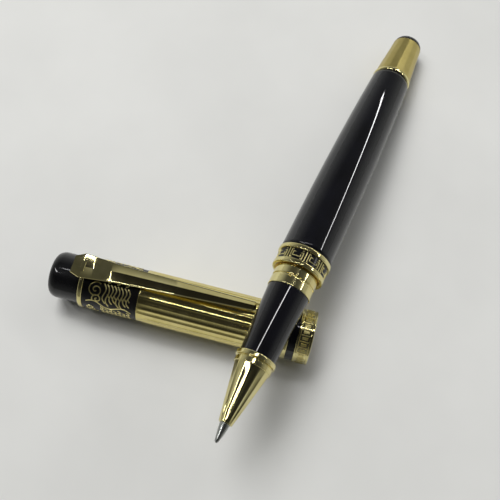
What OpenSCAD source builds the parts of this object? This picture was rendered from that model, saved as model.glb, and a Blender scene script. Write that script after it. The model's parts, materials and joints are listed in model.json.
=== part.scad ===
// Rollerball pen lying uncapped across its own cap.
// The cap lies along X with its clip up and its mouth towards +X. The pen lies across it,
// tail on the table and writing tip in the air. Z = 0 is the table.
// The origin is on the table, under the middle of the whole object.
// Pen pieces are drawn along +Z from the tail end, cap pieces along +Z from the finial end,
// and on_pen() and on_cap() put them in place.

/* [Pen tail] */
// Length of the black domed finial at the tail
tail_finial_len = 2.1; // [1:0.05:3]
// Radius of the finial and of the sleeve's small end
tail_end_r = 3.9; // [3.2:0.1:4.4]
// Length of the gold tail sleeve
tail_sleeve_len = 12.15; // [8:0.1:20]
// Radius of the sleeve's wide end
tail_sleeve_r = 4.95; // [4.6:0.05:5]
// Length of the polished ring between sleeve and barrel
tail_ring_len = 1; // [0.6:0.1:2]
// Radius of that ring
tail_ring_r = 5.15; // [5.05:0.05:5.6]
// Radius of the stud that holds the tail together
tail_stud_r = 1.5; // [1:0.1:2.2]
// Length of the plug at the stud's front, inside the barrel
tail_plug_len = 3; // [2:0.5:5]

/* [Barrel] */
// Length of the lacquered barrel
barrel_len = 58.55; // [45:0.05:75]
// Barrel radius at the tail ring
barrel_rear_r = 5.05; // [4.9:0.05:5.4]
// Barrel radius at the trim ring
barrel_front_r = 6.45; // [6.2:0.05:7]
// How quickly the barrel swells from the tail: higher is sooner
barrel_swell = 2.4; // [1.5:0.1:3]
// Radius of the bore through the barrel
barrel_bore_r = 4.1; // [3.6:0.1:4.2]

/* [Trim ring] */
// Length of the trim ring
trim_len = 5.1; // [4:0.1:7]
// Radius of its rear rim
trim_rear_r = 6.72; // [6.55:0.01:7.2]
// Radius of its front rim
trim_front_r = 6.5; // [6.35:0.05:7]
// Length of each rim
trim_rim_len = 1.15; // [0.8:0.05:1.5]
// Radius of the black band between the rims
trim_band_r = 6.25; // [6.1:0.05:6.3]
// Thickness of the black band
trim_band_t = 0.25; // [0.2:0.05:0.3]

/* [Thread] */
// Outer radius of the bush in the barrel's mouth
bush_r = 5.6; // [5.3:0.05:5.7]
// Length of the bush behind the trim ring
bush_depth = 6; // [4:0.5:12]
// Outer radius of the section's thread
thread_r = 4.5; // [4.35:0.05:4.7]
// Length of the section's thread
thread_len = 7; // [5:0.5:9]
// Radial clearance between the two threads
thread_clear = 0.05; // [0.03:0.01:0.1]
// Gap between the barrel's mouth and the section's collar
joint_gap = 0.05; // [0.03:0.01:0.2]

/* [Section] */
// Length of the gold collar
collar_len = 5; // [4:0.1:8]
// Radius of the collar's two bands
collar_r = 5.35; // [5.2:0.05:5.4]
// Depth of the groove between the bands
collar_groove = 0.3; // [0.1:0.05:0.5]
// Width of that groove
collar_groove_w = 0.5; // [0.3:0.1:1]
// Length of the black grip
grip_len = 17.5; // [12:0.5:24]
// Grip radius at the collar
grip_rear_r = 5.17; // [4.9:0.01:5.3]
// Grip radius at the nose
grip_front_r = 4.31; // [4.2:0.01:4.8]
// Outer radius of the brass liner under the collar and grip
liner_r = 3.8; // [3.6:0.05:3.9]
// Radius of the liner's front spigot
spigot_r = 3.55; // [3.4:0.05:3.55]
// Length of that spigot
spigot_len = 2.4; // [1.5:0.1:3]
// Radius of the liner's bore
liner_bore_r = 3.2; // [3.15:0.01:3.3]

/* [Nose] */
// Length of the gold nose cone
nose_len = 16.2; // [12:0.1:22]
// Radius of its rear flange
nose_flange_r = 4.84; // [4.6:0.01:5.1]
// Length of the flange
nose_flange_len = 1.1; // [0.8:0.1:1.6]
// Radius of the bead in front of the flange
nose_bead_r = 4.5; // [4.3:0.05:4.7]
// Length of the bead
nose_bead_len = 1.2; // [0.8:0.1:2]
// Width and depth of the groove between flange and bead
nose_groove = 0.35; // [0.2:0.05:0.5]
// Radius at the wide end of the cone itself
nose_cone_r = 4.25; // [4.1:0.05:4.4]
// Radius of the nose's front edge
nose_tip_r = 1.6; // [1.5:0.05:2]
// Length of the small front bore that guides the refill's point
nose_guide_len = 2; // [1:0.1:3]

/* [Refill] */
// Outer radius of the refill tube
refill_r = 3; // [2.8:0.05:3.05]
// Wall of the refill tube
refill_wall = 0.35; // [0.2:0.05:0.5]
// Length of the refill's rear plug flange
refill_plug_len = 2; // [1:0.5:4]
// Length of steel point that shows in front of the nose
point_out = 4.5; // [3:0.1:6]
// Radius of the steel point's shank
point_r = 1.15; // [0.9:0.05:1.15]
// Length of the steel point inside the holder
point_in = 7.5; // [5:0.5:9]
// Radius of the writing ball
ball_r = 0.35; // [0.25:0.05:0.5]
// Clearance around the ball in its socket
ball_clear = 0.02; // [0.01:0.01:0.03]
// Clearance between the refill's point and the nose
refill_clear = 0.1; // [0.08:0.01:0.2]
// Compressed length of the spring behind the refill
spring_len = 6; // [4:0.5:10]
// Mean radius of the spring
spring_r = 2.3; // [1.8:0.1:2.6]
// Diameter of the spring wire
spring_wire = 0.45; // [0.3:0.05:0.6]
// Number of turns of the spring
spring_turns = 5; // [3:1:8]

/* [Cap] */
// Length of the whole cap
cap_len = 66.2; // [60:0.1:85]
// Length of the black cap finial
cap_finial_len = 8; // [6:0.1:12]
// Radius of the finial at its end face
cap_finial_end_r = 4.5; // [3.8:0.1:5.2]
// Radius of the finial at the clip ring
cap_finial_r = 5.85; // [5.6:0.05:6.1]
// Length of the gold ring that carries the clip
clip_ring_len = 1.2; // [0.8:0.1:2]
// Radius of that ring
clip_ring_r = 6.55; // [6.4:0.05:6.7]
// Length of the black ornamented band
cap_band_len = 13.9; // [8:0.1:18]
// Radius of the band
cap_band_r = 6.35; // [6.25:0.05:6.5]
// Radius of the gold fluted tube
cap_tube_r = 6.5; // [6.3:0.05:6.6]
// Length of the gold lip band at the mouth
lip_band_len = 3.7; // [2.5:0.1:6]
// Radius of the lip band
lip_r = 6.7; // [6.6:0.05:7]
// Length of the black ring behind the lip band
black_ring_len = 1.9; // [1:0.1:3]
// Radius of the black ring
black_ring_r = 6.45; // [6.3:0.05:6.6]
// Length of the thin gold ring behind the black ring
thin_ring_len = 1.2; // [0.8:0.1:2]
// Radius of the thin gold ring
thin_ring_r = 6.62; // [6.4:0.01:6.65]
// Outer radius of the inner tube that all the sleeves sit on
inner_tube_r = 5.9; // [5.8:0.05:6]
// Clearance between the collar and the mouth of the cap
cap_clear = 0.1; // [0.05:0.01:0.2]
// Depth of the open bore in the cap
cap_bore_len = 33.6; // [30:0.1:45]
// Wall of the sealing cup
seal_wall = 0.6; // [0.4:0.1:1]
// Radius of the screw in the finial
cap_screw_r = 1.6; // [1.2:0.1:2]
// Length of the plug that closes the inner tube
cap_plug_len = 3; // [2:0.5:5]

/* [Clip] */
// Lean of the clip from straight up, towards +Y
clip_lean = 12; // [0:1:40]
// Swing of the clip's tip towards +Y, about its root
clip_skew = 1.5; // [-2:0.1:2]
// Distance from the clip's tip to the mouth of the cap
clip_stop = 14.9; // [12:0.1:20]
// Height of the clip's top over the cap's axis at its head
clip_head_h = 10; // [9:0.1:12]
// Height of the clip's top over the cap's axis at its tip
clip_tip_h = 8.7; // [8:0.1:9]
// Width of the clip's head
clip_head_w = 6.5; // [4:0.1:7]
// Width of the clip where its head ends
clip_neck_w = 4.7; // [3:0.1:5]
// Width of the clip at its tip
clip_tip_w = 2.4; // [1.6:0.1:3]
// Length of the wide head
clip_head_len = 11.9; // [5:0.1:14]
// Length over which the head curls down at its end
clip_nose_len = 2.3; // [1:0.1:3]
// How far the head curls down at its end
clip_nose_drop = 0.5; // [0.2:0.1:0.8]
// How far the head stands out past the clip ring
clip_overhang = 1.9; // [0:0.1:3]
// Thickness of the clip at its edges
clip_t = 0.8; // [0.6:0.05:1.1]
// Rise of the ridge along its middle
clip_ridge = 0.9; // [0.2:0.05:1.2]
// Radius of the contact bead under the tip
clip_bead_r = 0.9; // [0.6:0.05:1.1]
// Distance from the tip back to the contact bead
clip_bead_back = 1.6; // [1:0.1:3]
// Gap under the contact bead
clip_gap = 0.1; // [0.05:0.05:0.4]
// Gap between the clip's leg and the clip ring
clip_foot_gap = 0.05; // [0.03:0.01:0.2]

/* [Lying position] */
// Distance from the rear of the grip to where the pen crosses the cap
cross_grip = 7.5; // [5.2:0.1:12]
// Distance from the mouth of the cap to where the pen crosses it
cross_mouth = 9.8; // [8:0.1:12]
// Heading of the pen from tail to tip, from +X
pen_heading = -101.1; // [-115:0.1:-80]
// Gap between pen and cap where they cross
rest_gap = 0.1; // [0.05:0.05:0.3]

/* [Hidden] */
$fn = 96;

gold = [0.83, 0.69, 0.36];
lacquer = [0.03, 0.03, 0.05];
brass = [0.78, 0.62, 0.3];
steel = [0.72, 0.72, 0.74];
plastic = [0.85, 0.86, 0.85];

// Edge break on polished rings
edge = 0.12;
// Segments along a curved outline
curve_steps = 14;
// Overlap that makes a cut run clear of a face
cut = 0.5;

// Stations along the pen, from the tail end
s_finial = tail_finial_len;
s_sleeve = s_finial + tail_sleeve_len;
s_barrel = s_sleeve + tail_ring_len;
s_trim = s_barrel + barrel_len;
s_collar = s_trim + trim_len;
s_grip = s_collar + collar_len;
s_nose = s_grip + grip_len;
s_nose_front = s_nose + nose_len;
s_tip = s_nose_front + point_out;
s_thread = s_collar - thread_len;
s_spigot = s_nose + spigot_len;
s_guide = s_nose_front - nose_guide_len;
s_bush = s_trim - bush_depth;
s_spring = s_barrel + tail_plug_len;
s_refill = s_spring + spring_len;

nose_guide_r = point_r + refill_clear;
s_cone = s_nose + nose_flange_len + nose_groove + nose_bead_len;

// Refill stations
holder_shoulder = s_spigot - 4.5;
holder_spigot_len = 3;
s_point_root = s_nose_front - point_in;
s_ball = s_tip - ball_r;
holder_clear = 0.3;

// Stations along the cap, from the finial end
c_ring = cap_finial_len;
c_band = c_ring + clip_ring_len;
c_tube = c_band + cap_band_len;
c_lip = cap_len - lip_band_len;
c_black = c_lip - black_ring_len;
c_thin = c_black - thin_ring_len;
c_bore = cap_len - cap_bore_len;
cap_bore_r = collar_r + cap_clear;
seal_seat_r = cap_bore_r - 0.25;
seal_floor_len = 1;

// Places where the two lie across each other
cross_pen = s_grip + cross_grip;
cross_cap = cap_len - cross_mouth;

function bulge(u) = 1 - pow(1 - u, barrel_swell);
function barrel_r(u) = barrel_rear_r + (barrel_front_r - barrel_rear_r) * bulge(u);

// Outline of the pen as [station, radius] pairs, used to lay it down and to centre it
pen_outline = concat(
    [[0, tail_end_r * 0.45], [s_finial * 0.35, tail_end_r * 0.86], [s_finial, tail_end_r]],
    [[s_sleeve, tail_sleeve_r], [s_sleeve + tail_ring_len / 2, tail_ring_r]],
    [for (i = [0:curve_steps]) [s_barrel + barrel_len * i / curve_steps, barrel_r(i / curve_steps)]],
    [[s_trim + 0.1, trim_rear_r], [s_collar - 0.1, trim_front_r], [s_collar, collar_r]],
    [[s_grip - 0.1, collar_r], [s_grip, grip_rear_r], [s_nose, grip_front_r]],
    [[s_nose + edge, nose_flange_r], [s_nose + nose_flange_len, nose_flange_r]],
    [[s_nose_front, nose_tip_r], [s_ball, ball_r]]
);

// Tilt of the pen: tail rim on the table, grip on the cap. Each pass refines the last.
cap_axis_z = lip_r;
heading = [cos(pen_heading), sin(pen_heading)];
cross_r = lookup(cross_pen, pen_outline);
axes_apart = cap_tube_r + rest_gap + cross_r;
function rest_height(t) =
    axes_apart * norm([sin(t), heading[1] * cos(t)]) / abs(heading[1] * cos(t));
function tail_height(t) = max([for (p = pen_outline) p[1] * cos(t) - p[0] * sin(t)]);
function next_tilt(t) = asin((cap_axis_z + rest_height(t) - tail_height(t)) / cross_pen);
function settle(t, passes) = passes == 0 ? t : settle(next_tilt(t), passes - 1);
pen_tilt = settle(9, 8);

pen_dir = [heading[0] * cos(pen_tilt), heading[1] * cos(pen_tilt), sin(pen_tilt)];
tail_xy = [cross_cap, 0] - cross_pen * cos(pen_tilt) * heading;
tail_at = [tail_xy[0], tail_xy[1], tail_height(pen_tilt)];

// Half-extent of a disc square to the pen along row axis i
function reach(r, i) = r * sqrt(1 - pen_dir[i] * pen_dir[i]);
function pen_high(i) = max([for (p = pen_outline) tail_at[i] + p[0] * pen_dir[i] + reach(p[1], i)]);
function pen_low(i) = min([for (p = pen_outline) tail_at[i] + p[0] * pen_dir[i] - reach(p[1], i)]);
centre_x = (min(0, pen_low(0)) + max(cap_len, pen_high(0))) / 2;
centre_y = (min(-lip_r, pen_low(1)) + max(lip_r, pen_high(1))) / 2;

module on_pen() {
    translate([tail_at[0] - centre_x, tail_at[1] - centre_y, tail_at[2]])
        rotate([0, 90 - pen_tilt, pen_heading])
            children();
}

module on_cap() {
    translate([-centre_x, -centre_y, cap_axis_z])
        rotate([0, 90, 0])
            children();
}

// Turned ring from station a to b with broken outer edges
module ring(a, b, r, bore, e = edge) {
    rotate_extrude()
        polygon([[bore, a], [r - e, a], [r, a + e], [r, b - e], [r - e, b], [bore, b]]);
}

// Turned tube that changes radius evenly from ra to rb
module taper(a, b, ra, rb, bore) {
    rotate_extrude()
        polygon([[bore, a], [ra, a], [rb, b], [bore, b]]);
}

// Turned rod from station a to b
module rod(a, b, r) {
    translate([0, 0, a])
        cylinder(r = r, h = b - a);
}

// ---- Barrel ----

module barrel_tube() {
    color(lacquer) on_pen() difference() {
        rotate_extrude()
            polygon(concat(
                [[barrel_bore_r, s_trim], [barrel_bore_r, s_barrel]],
                [for (i = [0:curve_steps])
                    [barrel_r(i / curve_steps), s_barrel + barrel_len * i / curve_steps]]
            ));
        rod(s_bush, s_trim + cut, bush_r);
    }
}

module barrel_bush() {
    color(brass) on_pen()
        ring(s_bush, s_collar - joint_gap, bush_r, thread_r + thread_clear, 0);
}

module trim_ring() {
    floor_r = trim_band_r - trim_band_t;
    front = s_collar - joint_gap;
    color(gold) on_pen() {
        rotate_extrude()
            polygon([
                [bush_r, s_trim],
                [trim_rear_r - edge, s_trim],
                [trim_rear_r, s_trim + edge],
                [trim_rear_r, s_trim + trim_rim_len - edge],
                [trim_rear_r - edge, s_trim + trim_rim_len],
                [floor_r, s_trim + trim_rim_len],
                [floor_r, front - trim_rim_len],
                [trim_front_r - edge, front - trim_rim_len],
                [trim_front_r, front - trim_rim_len + edge],
                [trim_front_r, front - edge],
                [trim_front_r - edge, front],
                [bush_r, front]
            ]);
    }
}

module trim_band() {
    color(lacquer) on_pen()
        ring(s_trim + trim_rim_len, s_collar - joint_gap - trim_rim_len,
             trim_band_r, trim_band_r - trim_band_t, 0);
}

// ---- Tail ----

module tail_sleeve() {
    color(gold) on_pen()
        taper(s_finial, s_sleeve, tail_end_r, tail_sleeve_r, tail_stud_r + 1);
}

module tail_ring() {
    color(gold) on_pen()
        ring(s_sleeve, s_barrel, tail_ring_r, tail_stud_r, edge * 2);
}

module tail_finial() {
    color(lacquer) on_pen() difference() {
        rotate_extrude()
            polygon([
                [0, 0],
                [tail_end_r * 0.45, 0],
                [tail_end_r * 0.72, s_finial * 0.14],
                [tail_end_r * 0.86, s_finial * 0.35],
                [tail_end_r * 0.96, s_finial * 0.65],
                [tail_end_r, s_finial],
                [0, s_finial]
            ]);
        rod(s_finial * 0.4, s_finial + cut, tail_stud_r);
    }
}

module tail_stud() {
    color(brass) on_pen() union() {
        rod(s_finial * 0.4, s_barrel, tail_stud_r);
        rod(s_barrel, s_spring, barrel_bore_r);
    }
}

// ---- Section ----

module grip_sleeve() {
    color(lacquer) on_pen()
        taper(s_grip, s_nose, grip_rear_r, grip_front_r, liner_r);
}

module section_liner() {
    color(brass) on_pen() rotate_extrude()
        polygon([
            [liner_bore_r, s_thread],
            [thread_r - edge, s_thread],
            [thread_r, s_thread + edge],
            [thread_r, s_collar],
            [liner_r, s_collar],
            [liner_r, s_nose],
            [spigot_r, s_nose],
            [spigot_r, s_spigot],
            [liner_bore_r, s_spigot]
        ]);
}

module section_collar() {
    middle = s_collar + collar_len / 2;
    floor_r = collar_r - collar_groove;
    color(gold) on_pen() rotate_extrude()
        polygon([
            [liner_r, s_collar],
            [collar_r - edge, s_collar],
            [collar_r, s_collar + edge],
            [collar_r, middle - collar_groove_w / 2 - edge],
            [floor_r, middle - collar_groove_w / 2],
            [floor_r, middle + collar_groove_w / 2],
            [collar_r, middle + collar_groove_w / 2 + edge],
            [collar_r, s_grip - edge],
            [collar_r - edge, s_grip],
            [liner_r, s_grip]
        ]);
}

module nose_cone() {
    bead = s_cone - nose_bead_len;
    flange = s_nose + nose_flange_len;
    color(gold) on_pen() rotate_extrude()
        polygon([
            [spigot_r, s_nose],
            [nose_flange_r - edge, s_nose],
            [nose_flange_r, s_nose + edge],
            [nose_flange_r, flange - edge],
            [nose_flange_r - edge, flange],
            [nose_bead_r - nose_groove, flange],
            [nose_bead_r - nose_groove, bead],
            [nose_bead_r - edge, bead],
            [nose_bead_r, bead + edge],
            [nose_bead_r, s_cone - edge],
            [nose_bead_r - edge, s_cone],
            [nose_cone_r, s_cone],
            [nose_tip_r, s_nose_front],
            [nose_guide_r, s_nose_front],
            [nose_guide_r, s_guide],
            [liner_bore_r, s_spigot],
            [spigot_r, s_spigot]
        ]);
}

// ---- Refill ----

module refill_tube() {
    color(plastic) on_pen()
        ring(s_refill + refill_plug_len, holder_shoulder, refill_r, refill_r - refill_wall, 0);
}

module refill_plug() {
    color(plastic) on_pen() union() {
        rod(s_refill, s_refill + refill_plug_len, refill_r);
        rod(s_refill + refill_plug_len, s_refill + refill_plug_len * 2, refill_r - refill_wall);
    }
}

module refill_holder() {
    front = s_guide - 0.6;
    color(plastic) on_pen() difference() {
        rotate_extrude()
            polygon([
                [0, holder_shoulder - holder_spigot_len],
                [refill_r - refill_wall, holder_shoulder - holder_spigot_len],
                [refill_r - refill_wall, holder_shoulder],
                [refill_r, holder_shoulder],
                [refill_r, s_spigot - holder_clear],
                [point_r + refill_clear * 2, front],
                [0, front]
            ]);
        rod(s_point_root, s_guide, point_r);
        rod(holder_shoulder - holder_spigot_len - cut, s_guide, point_r / 2);
    }
}

module refill_point() {
    nib_len = 3.2;
    rim_r = ball_r + 0.07;
    color(steel) on_pen() difference() {
        rotate_extrude()
            polygon([
                [0, s_point_root],
                [point_r, s_point_root],
                [point_r, s_tip - nib_len],
                [point_r * 0.82, s_tip - nib_len],
                [rim_r, s_ball + 0.1],
                [0, s_ball + 0.1]
            ]);
        translate([0, 0, s_ball])
            sphere(r = ball_r + ball_clear);
        rod(s_point_root - cut, s_ball, ball_r / 2);
    }
}

module ink_wick() {
    rod_r = refill_r - refill_wall - 0.15;
    wick_end = holder_shoulder - holder_spigot_len;
    color("midnightblue") on_pen() union() {
        rod(s_refill + refill_plug_len * 2 + 1, wick_end, rod_r);
        rod(wick_end, s_point_root, point_r / 2);
    }
}

module writing_ball() {
    color(steel) on_pen()
        translate([0, 0, s_ball])
            sphere(r = ball_r);
}

// ---- Spring ----

// Wire swept along a helix, as one closed skin
module coil(r, wire, turns, height) {
    steps = 20;
    sides = 8;
    count = turns * steps;
    rise = (height - wire) / count;
    points = [
        for (i = [0:count]) for (k = [0:sides - 1])
            let (a = i * 360 / steps, b = k * 360 / sides, q = r + wire / 2 * cos(b))
                [q * cos(a), q * sin(a), wire / 2 + i * rise + wire / 2 * sin(b)]
    ];
    skin = [
        for (i = [0:count - 1]) for (k = [0:sides - 1])
            let (n = (k + 1) % sides)
                [i * sides + k, (i + 1) * sides + k, (i + 1) * sides + n, i * sides + n]
    ];
    first = [for (k = [0:sides - 1]) k];
    last = [for (k = [0:sides - 1]) count * sides + sides - 1 - k];
    polyhedron(points, concat(skin, [first, last]), convexity = 10);
}

module refill_spring() {
    color(steel) on_pen()
        translate([0, 0, s_spring])
            coil(spring_r, spring_wire, spring_turns, spring_len);
}

// ---- Cap ----

module cap_finial() {
    color(lacquer) on_cap() difference() {
        rotate_extrude()
            polygon([
                [0, 0],
                [cap_finial_end_r, 0],
                [(cap_finial_end_r + cap_finial_r) / 2, 0.35],
                [cap_finial_r - 0.25, 1.1],
                [cap_finial_r, 2.2],
                [cap_finial_r, c_ring],
                [0, c_ring]
            ]);
        rod(c_ring / 2, c_ring + cut, cap_screw_r);
    }
}

module clip_ring() {
    color(gold) on_cap()
        ring(c_ring, c_band, clip_ring_r, cap_screw_r, edge * 2);
}

module cap_band() {
    color(lacquer) on_cap()
        ring(c_band, c_tube, cap_band_r, inner_tube_r, 0);
}

module cap_tube() {
    color(gold) on_cap()
        ring(c_tube, c_thin, cap_tube_r, inner_tube_r);
}

module thin_ring() {
    color(gold) on_cap()
        ring(c_thin, c_black, thin_ring_r, inner_tube_r, edge * 2);
}

module black_ring() {
    color(lacquer) on_cap()
        ring(c_black, c_lip, black_ring_r, inner_tube_r, 0);
}

module lip_band() {
    color(gold) on_cap()
        ring(c_lip, cap_len, lip_r, inner_tube_r, edge * 2);
}

module inner_tube() {
    color(brass) on_cap() difference() {
        rod(c_band, cap_len, inner_tube_r);
        rod(c_bore, cap_len + cut, cap_bore_r);
        rod(c_band - cut, c_bore + cut, seal_seat_r);
    }
}

module seal_cup() {
    floor_at = c_bore - cap_bore_len / 3;
    color(plastic) on_cap() difference() {
        rod(floor_at, c_bore, seal_seat_r);
        rod(floor_at + seal_floor_len, c_bore + cut, seal_seat_r - seal_wall);
    }
}

module cap_plug() {
    color(brass) on_cap()
        ring(c_band, c_band + cap_plug_len, seal_seat_r, cap_screw_r, 0);
}

module cap_screw() {
    head = c_band + cap_plug_len;
    color(brass) on_cap() union() {
        rod(c_ring / 2, head, cap_screw_r);
        rod(head, head + 1.2, cap_screw_r * 1.8);
    }
}

// ---- Clip ----

// Side view of the clip's arm as [height, station] points, extruded right across it
module clip_side(root, tip) {
    depth = clip_ridge + clip_t;
    rotate([90, 0, 0])
        linear_extrude(height = clip_head_w, center = true)
            polygon([
                [clip_head_h - clip_nose_drop, root],
                [clip_head_h, root + clip_nose_len],
                [clip_tip_h, tip],
                [clip_tip_h - depth, tip],
                [clip_head_h - depth, root + clip_nose_len],
                [clip_head_h - clip_nose_drop - depth, root]
            ]);
}

// Plan of the clip's arm as [across, station] points, extruded upwards
module clip_plan(root, tip) {
    half = [
        [clip_head_w * 0.35, root],
        [clip_head_w * 0.5, root + clip_nose_len],
        [clip_neck_w * 0.5, root + clip_head_len],
        [clip_tip_w * 0.5, tip]
    ];
    rotate([90, 0, 90])
        linear_extrude(height = clip_head_h * 2)
            polygon(concat(half, [for (i = [len(half) - 1:-1:0]) [-half[i][0], half[i][1]]]));
}

// Gable under which the arm's top falls away from its ridge to both sides
module clip_roof(root, tip) {
    fall = atan((clip_head_h - clip_tip_h) / (tip - root - clip_nose_len));
    half = clip_head_w / 2;
    translate([clip_head_h, 0, root + clip_nose_len])
        rotate([0, -fall, 0])
            translate([0, 0, -clip_head_w])
                linear_extrude(height = cap_len)
                    polygon([
                        [-clip_head_h, -half - cut],
                        [-clip_ridge * (half + cut) / half, -half - cut],
                        [0, 0],
                        [-clip_ridge * (half + cut) / half, half + cut],
                        [-clip_head_h, half + cut]
                    ]);
}

module clip() {
    root = c_ring - clip_overhang;
    tip = cap_len - clip_stop;
    leg_top = clip_head_h - clip_t - clip_ridge;
    foot = clip_ring_r + clip_foot_gap;
    bead_at = tip - clip_bead_back;
    bead_side = (bead_at - c_ring) * sin(clip_skew);
    bead_h = sqrt(pow(cap_tube_r + clip_gap + clip_bead_r, 2) - pow(bead_side, 2));
    color(gold) on_cap() rotate([0, 0, 180 - clip_lean])
    translate([0, 0, c_ring]) rotate([clip_skew, 0, 0]) translate([0, 0, -c_ring]) {
        intersection() {
            clip_side(root, tip);
            clip_plan(root, tip);
            clip_roof(root, tip);
        }
        translate([foot, -clip_head_w * 0.35, c_ring])
            cube([leg_top - foot, clip_head_w * 0.7, clip_ring_len]);
        translate([bead_h, 0, bead_at])
            sphere(r = clip_bead_r);
    }
}

barrel_tube();
barrel_bush();
trim_ring();
trim_band();
tail_sleeve();
tail_ring();
tail_finial();
tail_stud();
grip_sleeve();
section_liner();
section_collar();
nose_cone();
refill_tube();
refill_plug();
refill_holder();
refill_point();
ink_wick();
writing_ball();
refill_spring();
cap_finial();
clip_ring();
cap_band();
cap_tube();
thin_ring();
black_ring();
lip_band();
inner_tube();
seal_cup();
cap_plug();
cap_screw();
clip();
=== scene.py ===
"""A rollerball pen lying uncapped across its own cap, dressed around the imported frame.

The barrel, tail, section and cap are turned pieces, so each one is a lathe outline about its axis.
Sizes are in millimetres and stations run along each axis: from the tail end on the pen, and from
the finial end on the cap. Both axes come from the frame's joints and mounts.
"""

import json
import logging
import math
from dataclasses import dataclass
from enum import Enum
from typing import Callable, Iterable, Sequence

import bmesh
import bpy
from mathutils import Matrix, Vector


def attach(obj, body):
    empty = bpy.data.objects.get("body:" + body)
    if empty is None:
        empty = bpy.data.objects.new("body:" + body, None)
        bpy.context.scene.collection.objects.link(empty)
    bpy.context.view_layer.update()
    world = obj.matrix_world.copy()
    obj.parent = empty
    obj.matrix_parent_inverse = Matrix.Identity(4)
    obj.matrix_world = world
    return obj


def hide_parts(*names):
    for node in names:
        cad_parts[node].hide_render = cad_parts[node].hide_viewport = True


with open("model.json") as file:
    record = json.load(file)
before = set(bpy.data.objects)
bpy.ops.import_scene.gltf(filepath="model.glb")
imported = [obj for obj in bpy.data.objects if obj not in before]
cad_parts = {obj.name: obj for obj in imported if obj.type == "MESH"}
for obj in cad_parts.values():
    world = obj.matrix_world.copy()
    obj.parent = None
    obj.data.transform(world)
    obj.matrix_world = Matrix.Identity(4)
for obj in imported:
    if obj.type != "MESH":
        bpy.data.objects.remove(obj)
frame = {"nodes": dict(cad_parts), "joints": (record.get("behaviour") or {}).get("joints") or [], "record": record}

LOG = logging.getLogger("pen")
MM = 0.001
TURN = 2 * math.pi
ON_AXIS_MM = 1e-6  # a radius under this is a point on the axis
STRAIGHT = 0.995  # edges that meet with a cosine over this make no corner
SKIN_ROUND_MM = 36  # one turn of a skin map is read as this long, the girth of an 11.5 mm round

Point = tuple[float, float]


# ---------------------------------------------------------------- axes and places


@dataclass(frozen=True)
class Axis:
    """A turning axis in the frame: local Z runs along it and local X is its upper side."""

    start: Vector
    along: Vector
    top: Vector

    @property
    def matrix(self) -> Matrix:
        """Takes a mesh drawn about local Z to its place on this axis."""
        z = self.along.normalized()
        x = (self.top - z * self.top.dot(z)).normalized()
        y = z.cross(x)
        turned = Matrix((x, y, z)).transposed().to_4x4()
        return Matrix.Translation(self.start) @ turned

    def at(self, station: float, height: float = 0.0) -> Vector:
        """The point at a station, height millimetres out on the upper side."""
        return self.matrix @ Vector((height * MM, 0.0, station * MM))

    def leaning(self, degrees: float) -> "Axis":
        """The same axis with its upper side turned about it."""
        turned = Matrix.Rotation(math.radians(degrees), 3, self.along) @ self.top
        return Axis(self.start, self.along, turned)

    def swung(self, station: float, degrees: float) -> "Axis":
        """The same axis swung sideways about its upper direction, pivoting at a station."""
        pivot = self.at(station)
        along = Matrix.Rotation(math.radians(degrees), 3, self.top) @ self.along
        return Axis(pivot - along * station * MM, along, self.top)


def joint(name: str) -> dict:
    """The joint of that name, as the frame holds it."""
    return next(j for j in frame["joints"] if j["name"] == name)


def mount(name: str) -> dict:
    """The mount of that name, as the frame holds it."""
    return next(m for m in frame["record"]["mounts"] if m["name"] == name)


def pen_axis(joint_station: float) -> Axis:
    """The pen's axis from tail to tip.

    Args:
        joint_station: where the barrel's screw joint sits, from the tail end.

    Returns:
        The axis, with its upper side towards +Z.
    """
    screw = joint("barrel_unscrew")
    along = -Vector(screw["axis"]).normalized()
    return Axis(Vector(screw["pos_m"]) - along * joint_station * MM, along, Vector((0, 0, 1)))


def cap_axis(mouth_station: float) -> Axis:
    """The cap's axis from finial to mouth.

    Args:
        mouth_station: where the mount at the mouth sits, from the finial end.

    Returns:
        The axis, with its upper side towards +Z.
    """
    mouth = mount("cap_mouth")
    along = Vector(mouth["axis"]).normalized()
    return Axis(Vector(mouth["pos_m"]) - along * mouth_station * MM, along, Vector((0, 0, 1)))


# ---------------------------------------------------------------- colours and shader nodes


def colour(hex_code: str) -> tuple[float, float, float, float]:
    """An sRGB hex colour as linear RGBA."""
    parts = [int(hex_code[i : i + 2], 16) / 255 for i in (1, 3, 5)]
    linear = [c / 12.92 if c <= 0.04045 else ((c + 0.055) / 1.055) ** 2.4 for c in parts]
    return (*linear, 1.0)


def add_node(
    tree: bpy.types.NodeTree,
    kind: str,
    settings: dict | None = None,
    inputs: dict | None = None,
    links: dict | None = None,
) -> bpy.types.Node:
    """Adds one node to a shader or geometry tree.

    Args:
        tree: the node tree.
        kind: the node's type name.
        settings: properties of the node itself.
        inputs: values of its sockets, by name or number.
        links: output sockets to join to its sockets, by name or number.

    Returns:
        The node.
    """
    node = tree.nodes.new(kind)
    for key, value in (settings or {}).items():
        setattr(node, key, value)
    for key, value in (inputs or {}).items():
        node.inputs[key].default_value = value
    for key, socket in (links or {}).items():
        tree.links.new(socket, node.inputs[key])
    return node


def ramp(
    tree: bpy.types.NodeTree, source: bpy.types.NodeSocket, stops: Sequence[tuple[float, str]]
) -> bpy.types.NodeSocket:
    """A colour ramp over a value, with sRGB hex stops."""
    node = add_node(tree, "ShaderNodeValToRGB", links={"Fac": source})
    elements = node.color_ramp.elements
    while len(elements) < len(stops):
        elements.new(0.5)
    for element, (place, code) in zip(elements, stops):
        element.position = place
        element.color = colour(code)
    return node.outputs["Color"]


def spread(
    tree: bpy.types.NodeTree, source: bpy.types.NodeSocket, low: float, high: float
) -> bpy.types.NodeSocket:
    """Maps a 0.3 to 0.7 noise value to low and high."""
    node = add_node(
        tree,
        "ShaderNodeMapRange",
        inputs={"From Min": 0.3, "From Max": 0.7, "To Min": low, "To Max": high},
        links={"Value": source},
    )
    return node.outputs["Result"]


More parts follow.
